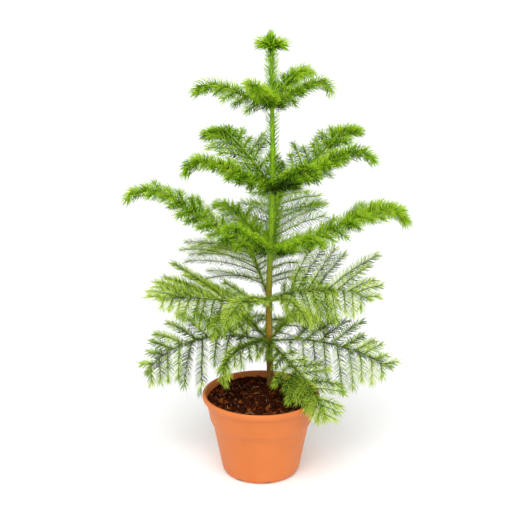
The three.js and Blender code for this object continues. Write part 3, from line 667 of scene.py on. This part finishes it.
g = Graph("terracotta_plastic")
co = g.node("ShaderNodeTexCoord").outputs["Object"]
cloud = g.node("ShaderNodeTexNoise", Vector=co, Scale=14.0, Detail=3.0, Roughness=.55)
grainy = g.node("ShaderNodeTexNoise", Vector=co, Scale=900.0, Detail=2.0)
sep = g.node("ShaderNodeSeparateXYZ", Vector=co)
rings = g.node("ShaderNodeTexNoise", Scale=320.0, Detail=2.0)
rings.noise_dimensions = "1D"
g.link(sep.outputs["Z"], rings.inputs["W"])
g.link(g.ramp(cloud.outputs["Fac"], [(.25, srgb(198, 106, 44)), (.55, srgb(206, 113, 48)), (.8, srgb(210, 119, 56))]),
       g.b.inputs["Base Color"])
g.link(g.node("ShaderNodeMapRange", Value=grainy.outputs["Fac"], To_Min=.42, To_Max=.58).outputs["Result"],
       g.b.inputs["Roughness"])
g.b.inputs["Specular IOR Level"].default_value = .4
hts = g.node("ShaderNodeMath")
hts.operation = "MULTIPLY_ADD"
g.link(rings.outputs["Fac"], hts.inputs[0])
hts.inputs[1].default_value = .5
g.link(grainy.outputs["Fac"], hts.inputs[2])
bump = g.node("ShaderNodeBump", Height=hts.outputs[0], Strength=.16, Distance=.0005)
g.link(bump.outputs["Normal"], g.b.inputs["Normal"])
pot = piece("pot_moulded", pv, [pq, pt], [g.m])
# drain slots through the bottom corner
cut = Heap()
box_v = np.array([[x, y, z] for x in (-1, 1) for y in (-1, 1) for z in (-1, 1)], float)
box_q = np.array([[0, 1, 3, 2], [4, 6, 7, 5], [0, 4, 5, 1], [2, 3, 7, 6], [0, 2, 6, 4], [1, 5, 7, 3]])
for s in range(DRAIN_SLOTS):
    az = math.radians(DRAIN_FIRST_AZ + 360 * s / DRAIN_SLOTS)
    v = box_v * (8, DRAIN_WIDTH / 2, DRAIN_HEIGHT) + (BASE_FLAT_R + 2, 0, 0)
    cut.add(np.stack([v[:, 0] * math.cos(az) - v[:, 1] * math.sin(az),
                      v[:, 0] * math.sin(az) + v[:, 1] * math.cos(az), v[:, 2]], 1), quads=box_q)
cutter = cut.make("cutter", [g.m])
mod = pot.modifiers.new("slots", "BOOLEAN")
mod.operation = "DIFFERENCE"
mod.solver = "EXACT"
mod.object = cutter
done = bpy.data.meshes.new_from_object(pot.evaluated_get(bpy.context.evaluated_depsgraph_get()))
pot.modifiers.clear()
old = pot.data
pot.data = done
bpy.data.meshes.remove(old)
bpy.data.objects.remove(cutter)
pot.data.set_sharp_from_angle(angle=math.radians(38))
settle(pot, ["pot"])


# ------------------------------------------------------------------ compost
def inner_radius(z):
    return np.interp(z, [7, 73, 80, 107, 116, 119], [54.4, 67.6, 71.4, 76.6, 79.6, 80.6])


def soil_height(x, y):
    d2 = (x - 14.4) ** 2 + (y - 32) ** 2
    z = SOIL_EDGE_Z + np.minimum(SOIL_MOUND, 7 * np.exp(-d2 / (2 * MOUND_SPREAD ** 2)))
    z = z + 3.2 * (noise(x / 17, y / 17, 0, 5) - .5) + 2.4 * (noise(x / 6.5, y / 6.5, 0, 6) - .5)
    return z + 1.6 * (noise(x / 2.8, y / 2.8, 0, 7) - .5)


SR, SA = 70, 200
rr = np.linspace(0, 1, SR + 1)[1:]
aa = np.arange(SA) / SA * 2 * np.pi
edge = float(inner_radius(SOIL_EDGE_Z)) - .7
sx, sy = edge * rr[:, None] * np.cos(aa), edge * rr[:, None] * np.sin(aa)
sz = soil_height(sx, sy)
top = np.stack([sx, sy, sz], -1).reshape(-1, 3)
skirt_z = 96.0
skirt = np.stack([(inner_radius(skirt_z) - .7) * np.cos(aa), (inner_radius(skirt_z) - .7) * np.sin(aa),
                  np.full(SA, skirt_z)], 1)
sv = np.concatenate([top, skirt, [[0, 0, float(soil_height(np.array(0.), np.array(0.)))], [0, 0, skirt_z]]])
i = np.arange(SR)[:, None] * SA
j = np.arange(SA)[None]
sq = np.stack([i + j, i + SA + j, i + SA + (j + 1) % SA, i + (j + 1) % SA], -1).reshape(-1, 4)
jj = np.arange(SA)
st = np.concatenate([np.stack([np.full(SA, (SR + 1) * SA), jj, (jj + 1) % SA], -1),
                     np.stack([np.full(SA, (SR + 1) * SA + 1), SR * SA + (jj + 1) % SA, SR * SA + jj], -1)])
g = Graph("peat_and_bark")
co = g.node("ShaderNodeTexCoord").outputs["Object"]
lump = g.node("ShaderNodeTexNoise", Vector=co, Scale=160.0, Detail=5.0, Roughness=.65)
fleck = g.node("ShaderNodeTexNoise", Vector=co, Scale=900.0, Detail=3.0)
g.link(g.ramp(lump.outputs["Fac"], [(.30, srgb(20, 5, 1)), (.5, srgb(46, 16, 4)), (.66, srgb(82, 32, 8)), (.8, srgb(116, 60, 20))]),
       g.b.inputs["Base Color"])
g.b.inputs["Roughness"].default_value = .95
g.b.inputs["Specular IOR Level"].default_value = .06
bump = g.node("ShaderNodeBump", Height=fleck.outputs["Fac"], Strength=.8, Distance=.0012)
g.link(bump.outputs["Normal"], g.b.inputs["Normal"])
bed = piece("compost_bed", sv, [sq, st], [g.m])
settle(bed, ["soil"])

CRUMB_TINTS = [plain("crumb_%d" % k, c, .95, .06) for k, c in enumerate(
    [(24, 7, 2), (40, 14, 4), (58, 21, 6), (82, 34, 10), (112, 60, 20), (48, 17, 5)])]
ico_v = []
gold = (1 + 5 ** .5) / 2
for s1 in (-1, 1):
    for s2 in (-gold, gold):
        ico_v += [(0, s1, s2), (s1, s2, 0), (s2, 0, s1)]
ico_v = unit(np.array(ico_v, float))
ico_f = []
for p in range(12):
    for q in range(p + 1, 12):
        for r in range(q + 1, 12):
            if max(np.linalg.norm(ico_v[p] - ico_v[q]), np.linalg.norm(ico_v[q] - ico_v[r]), np.linalg.norm(ico_v[p] - ico_v[r])) < 1.1:
                m = np.cross(ico_v[q] - ico_v[p], ico_v[r] - ico_v[p])
                ico_f.append((p, q, r) if m @ ico_v[p] > 0 else (p, r, q))
ico_f = np.array(ico_f)


def turn_random():
    q = unit(rng.normal(size=4))
    w, x, y, z = q
    return np.array([[1 - 2 * (y * y + z * z), 2 * (x * y - z * w), 2 * (x * z + y * w)],
                     [2 * (x * y + z * w), 1 - 2 * (x * x + z * z), 2 * (y * z - x * w)],
                     [2 * (x * z - y * w), 2 * (y * z + x * w), 1 - 2 * (x * x + y * y)]])


crumbs = Heap()
for k in range(1900):
    r = edge * .985 * math.sqrt(rng.random())
    th = rng.random() * 2 * math.pi
    x, y = r * math.cos(th), r * math.sin(th)
    if math.hypot(x - 14.4, y - 32) < 6.5:
        continue
    big = rng.random()
    size = .7 + 1.3 * rng.random() + (2.0 * rng.random() if big > .9 else 0)
    stretch = np.array([1, .65 + .35 * rng.random(), .45 + .4 * rng.random()]) * (1.5 if big > .8 else 1)
    v = (ico_v * (1 + .45 * (rng.random((12, 1)) - .5)) * size * stretch) @ turn_random().T
    reach = np.hypot(v[:, 0], v[:, 1]).max()
    if r + reach > edge:
        x, y = x * (edge - reach) / r, y * (edge - reach) / r
    z = float(soil_height(np.array(x), np.array(y))) + size * .22
    crumbs.add(v + (x, y, z), tris=ico_f, mat=int(rng.integers(len(CRUMB_TINTS))))
settle(crumbs.make("compost_crumbs", CRUMB_TINTS, smooth=False))

FIBRE_TINTS = [plain("fibre_tan", (176, 138, 92), .85), plain("fibre_brown", (120, 82, 52), .85)]
fibres = Heap()
for k in range(70):
    r = edge * .9 * math.sqrt(rng.random())
    th, way = rng.random() * 6.283, rng.random() * 6.283
    n = 7
    ln = 6 + 14 * rng.random()
    bend = (rng.random() - .5) * 1.6
    a0 = way + bend * np.linspace(-.5, .5, n)
    xy = np.cumsum(np.stack([np.cos(a0), np.sin(a0)], 1) * ln / n, 0)
    xy = xy - xy.mean(0) + (r * math.cos(th), r * math.sin(th))
    far = np.hypot(xy[:, 0], xy[:, 1]).max()
    if far > edge - 1:
        xy *= (edge - 1.5) / far
    if np.hypot(xy[:, 0] - 14.4, xy[:, 1] - 32).min() < 7:
        continue
    z = soil_height(xy[:, 0], xy[:, 1]) + .5 + 1.2 * np.sin(np.linspace(0, np.pi, n)) * rng.random()
    pts = np.stack([xy[:, 0], xy[:, 1], z], 1)
    t, u, w = transport(pts)
    rad = (.22 + .25 * rng.random()) * np.linspace(1, .45, n)[:, None] * np.ones((1, 5))
    v, f3, f4 = tube(pts, (u, w), rad)
    fibres.add(v, f3, f4, mat=int(rng.random() > .45))
settle(fibres.make("compost_fibres", FIBRE_TINTS))

# ------------------------------------------------------------------ trunk
zs = np.arange(TRUNK_FOOT_Z, TRUNK_TIP_Z + .5, 1.1)
tp = np.array([trunk_at(z)[0] for z in zs])
tr = np.array([trunk_at(z)[1] for z in zs])
tp[:, 2] = zs
TS = 26
ta = np.arange(TS) / TS * 2 * np.pi
cs, sn = np.cos(ta)[None], np.sin(ta)[None]
Z = zs[:, None]
old = np.clip((300 - Z) / 130, 0, 1)                     # bark below, green stem above
relief = old * (.55 * (noise(cs * 2.2 + 9, sn * 2.2 + 9, Z / 22, 11) - .5)
                + .75 * (noise(cs * 4.5 + 9, sn * 4.5 + 9, Z / 4.2, 12) - .5))
# foot of each former or present leaf: low ridges that run down the stem in a spiral
spiral = np.sin(8 * ta[None] + Z * .55) * np.cos(5 * ta[None] - Z * .8)
relief = relief + (.16 + .18 * (1 - old)) * spiral
knee = sum(np.exp(-((Z - t["z"]) / 4.5) ** 2) for t in TIERS) * .9
radii = np.maximum(tr[:, None] * np.ones((1, TS)) + relief * np.clip(tr[:, None] / 3, .2, 1) + knee * tr[:, None] / 4, .3)
v, f3, f4 = tube(tp, (np.tile([1.0, 0, 0], (len(zs), 1)), np.tile([0, 1.0, 0], (len(zs), 1))), radii)
trunk_mat = bark_material("young_bark", [
    (.0, srgb(112, 80, 28)), (.11, srgb(138, 102, 30)), (.18, srgb(156, 122, 30)), (.29, srgb(134, 122, 24)),
    (.34, srgb(130, 138, 22)), (.40, srgb(124, 156, 18)), (.60, srgb(142, 190, 26)), (1.0, srgb(142, 196, 28))],
    .112, .62, .5)
trunk = piece("trunk_bark", v, [f4, f3], [trunk_mat])
settle(trunk, ["trunk"])

# ------------------------------------------------------------------ boughs, twigs and needles
BOUGH_MATS = [
    bark_material("bough_green", [(0, srgb(104, 140, 44)), (.5, srgb(120, 156, 48)), (1, srgb(112, 150, 46))], .1, .6, .4),
    bark_material("bough_olive", [(0, srgb(84, 92, 38)), (.45, srgb(88, 112, 38)), (1, srgb(96, 124, 40))], .1, .6, .4),
]

for ti, tier in enumerate(TIERS):
    limbs, twigs, needles = Heap(), Heap(), Needles()
    nl, per_mm, spread, incurve, width, turn = tier["needle"]
    grown, fresh = tier["age_and_shade"]
    longer, closer = tier["stout"]
    longest = max(b["length"] for b in tier["boughs"])
    lower = ti >= 3
    for bi, b in enumerate(tier["boughs"]):
        pts, d, side, up = course(tier, b)
        steps = len(pts) - 1
        nl = tier["needle"][0] * b["slim"]
        # a slight natural waver
        sway = 1.3 * np.sin(np.linspace(0, 5 + 3 * chance(ti, bi), steps + 1) + 6 * chance(bi, ti)) * np.linspace(0, 1, steps + 1)
        pts = pts + side * sway[:, None]

        def frame_at(t, pts=pts, d=d, side=side, up=up, steps=steps):
            i = min(steps, int(round(t * steps)))
            return pts[i], d[i], side[i], up[i]

        # the limb itself, with rings of leaf feet
        line, s = resample(pts, 2.0)
        t_, u_, w_ = transport(line)
        q = s / s[-1]
        base = tier["limb"] * (.6 + .4 * b["length"] / longest) * (1 - .72 * q) * (1 + .35 * np.exp(-s / 7))
        k = 8
        av = np.arange(k) / k * 2 * np.pi
        rel = .16 * np.sin(3 * av[None] + s[:, None] * 1.3) * np.cos(2 * av[None] - s[:, None] * .7) \
            + .25 * (noise(np.cos(av)[None] * 2 + 5, np.sin(av)[None] * 2 + 5, s[:, None] / 6, 30 + bi) - .5)
        v, f3, f4 = tube(line, (u_, w_), np.maximum(base[:, None] + rel * np.clip(base[:, None] / 2, .3, 1), .35))
        limbs.add(v, f3, f4)
        # needles along the bough
        spray = (chance(ti, bi, 1) - .5) * .12 + b["tone"]
        close = per_mm * b["dense"]
        feather = tier["feather"] if b["feather"] is None else b["feather"]
        # core: how strongly painted shade darkens the needles near the trunk in this tier
        core = .15 if lower else (.3 if ti == 0 else .55)
        needles.clothe(line, nl * longer * b["brush"] ** .3, close * closer * b["brush"], spread, incurve, width, turn,
                       grown + (.12 if lower else .16) - .2 * (b["brush"] - 1), fresh - .04 - .4 * b["pale"], spray, s_from=b["bare"], radius=1.4, tip=24.0 if lower else 30.0, core=core)
        # side twigs
        size = tier["longest"] * (.6 + .4 * b["length"] / longest)
        pairs = b["pairs"] or tier["pairs"]
        gap = (.96 - tier["start"]) / pairs
        for j in range(pairs):
            bushy = (b["star"],) if b["star"] else ()
            for n_, way in enumerate((1, -1) + bushy * (j > pairs * .3)):
                seed = ti * 100 + bi * 17 + j * 3 + (n_ > 1) * 61
                t = tier["start"] + gap * (j + .65 + .22 * way + (n_ > 1) * .5 + (chance(seed, way, 9) - .5) * .25)
                t = min(.97, max(.04, t))
                if t * b["length"] < b["bare"] * .6:
                    continue
                ln = size * b["reach"][0 if way > 0 else 1] * share(t, b["full"] or tier["full"], b["foot"]) * (.82 + .32 * chance(seed, way, 11))
                ln *= min(1, max(.35, (t - .06) / .3)) if way in bushy else 1
                tw = twig(tier, b, frame_at, t, way, ln, seed)
                tw, s2 = resample(tw, 3.0)
                if s2[-1] < 5:
                    continue
                t2, u2, w2 = transport(tw)
                q2 = s2 / s2[-1]
                r2 = (.95 if not lower else .85) * (1 - .6 * q2)
                v, f3, f4 = tube(tw, (u2, w2), np.repeat(r2[:, None], 5, 1) * (1 + .12 * np.sin(s2 * 2.1)[:, None]))
                twigs.add(v, f3, f4, mat=0 if not lower else (1 if chance(seed, way, 13) > .35 else 2))
                # twigs near the trunk get darker tints: partly older growth, partly painted shade in the core of the
                # tier
                spray = (chance(seed, way, 17) - .5) * (.34 if lower else .5) + .22 * max(0, 1 - t / .3) + b["tone"]
                spray -= (.16 * max(0, t - .55) / .45 if lower else 0) + b["pale"] * max(0, t - .45)
                flat = t < feather
                plane, rows = (np.array([0, 0, 1.0]), COMB_ROWS) if b["comb"] else (frame_at(t)[1], FROND_ROWS)
                if way in bushy:
                    needles.clothe(tw, nl * .92, close * (2.6 - 1.5 * t), 66, 16, width * .85, UPPER, grown + .04, fresh + .1,
                                   spray - .3 * max(0, t - .4), s_from=1.0, radius=.8, tip=14.0)
                elif flat and not lower:
                    needles.clothe(tw, nl * .92 * b["fine"], close * .72, 64, 16, width * (.8 if b["comb"] else .95), turn,
                                   grown + .06, fresh, spray, s_from=2.0, radius=.8, tip=18.0, plane=plane, rows=rows, core=core)
                elif flat:
                    needles.clothe(tw, nl * b["fine"], close * (.85 if b["comb"] else 1), spread, incurve,
                                   width * (.85 if b["comb"] else 1), turn, grown, fresh, spray,
                                   s_from=2.0, radius=.8, tip=18.0, flat=.3, plane=plane, rows=rows, core=core)
                else:
                    needles.clothe(tw, nl * .96, close, spread, incurve, width, turn, grown, fresh, spray,
                                   s_from=2.0, radius=.8, tip=18.0, core=core)
    for k, (z, az, ln, pitch, bow, tone) in enumerate(NODE_SHOOTS.get(ti, ())):
        a_ = math.radians(az)
        fall = np.radians(pitch - bow * np.linspace(0, 1, 12) ** 1.4)
        dd = np.stack([math.cos(a_) * np.cos(fall), math.sin(a_) * np.cos(fall), np.sin(fall)], 1)
        p0 = trunk_at(z)[0]
        tw, s2 = resample(np.concatenate([[p0], p0 + np.cumsum(dd * ln / 12, 0)]), 3.0)
        t2, u2, w2 = transport(tw)
        v, f3, f4 = tube(tw, (u2, w2), np.repeat((.9 * (1 - .5 * s2 / s2[-1]))[:, None], 5, 1))
        twigs.add(v, f3, f4, mat=1)
        needles.clothe(tw, nl * .8, per_mm * (1.7 if lower else 1.1), 62, 16, width * .9, UPPER, grown + tone, fresh + tone,
                       (chance(ti, k, 21) - .5) * .3, s_from=4.0, radius=.8, tip=12.0)
    tag = "tier_%d" % (ti + 1)
    names = [b["name"] for b in tier["boughs"]]
    settle(limbs.make("boughs_" + tag, [BOUGH_MATS[1 if lower else 0]]),
           ["bough_%d_%s" % (ti + 1, n) for n in names])
    settle(twigs.make("twigs_" + tag, TWIG_TINTS))
    masses = ["foliage_%d_%s" % (ti + 1, n) for n in names]
    parts = max(1, int(math.ceil(needles.count() / 19000.0)))
    rows = needles.rows
    cuts = np.array_split(np.arange(len(rows)), parts)
    for k, sel in enumerate(cuts):
        needles.rows = [rows[x] for x in sel]
        ob = needles.make("needles_%s%s" % (tag, "" if parts == 1 else "_" + "abcdef"[k]),
                          OLD_TINTS if lower else NEEDLE_TINTS)
        settle(ob, masses if k == 0 else ())

# needles on the leader and the bud with its ring of short shoots
leader = Needles()
arms = Heap()
for z0, z1, ln, per_mm, spread, a0 in ((330, 404, 8.5, .9, 48, .46), (424, 516, 13.5, 1.8, 55, .42),
                                       (532, 602, 14.5, 2.9, 56, .34)):
    line = np.array([trunk_at(z)[0] for z in np.linspace(z0, z1, 30)])
    leader.clothe(line, ln, per_mm, spread, 14, 1.15, 137.5, a0, a0, 0.0, radius=float(trunk_at((z0 + z1) / 2)[1]) * 1.5,
                  tip=1.0, tip_short=1.0, crown=0, vary=.7)
line = np.array([trunk_at(z)[0] for z in np.linspace(598, TRUNK_TIP_Z - 3, 12)])
leader.clothe(line, 15.0, 3.4, 32, 16, 1.9, 137.5, .62, .4, 0.0, radius=1.6, tip=10.0, vary=.6)
for az, ln, pitch in TOP_ARMS:
    a_, th = math.radians(az), math.radians(pitch)
    u = np.linspace(0, 1, 10)
    p0 = trunk_at(TOP_ARMS_Z)[0]
    lift = np.radians(pitch + 22 - 74 * u)
    dd = np.stack([math.cos(a_) * np.cos(lift), math.sin(a_) * np.cos(lift), np.sin(lift)], 1)
    pts = np.concatenate([[p0], p0 + np.cumsum(dd * ln / 10, 0)])
    line, s = resample(pts, 2.0)
    t_, u_, w_ = transport(line)
    v, f3, f4 = tube(line, (u_, w_), np.repeat((1.3 * (1 - .5 * s / s[-1]))[:, None], 6, 1))
    arms.add(v, f3, f4)
    leader.clothe(line, 17.0, 4.2, 76, 18, 1.8, 137.5, .36, .16, 0.0 if ln > 10 else .2, s_from=3.0, radius=1.0, tip=12.0, crown=5, vary=.65)
settle(arms.make("bud_shoots", [TWIG_TINTS[0]]))
settle(leader.make("needles_leader", NEEDLE_TINTS),
       ["foliage_leader_lower", "foliage_leader_upper", "foliage_leader_top"])
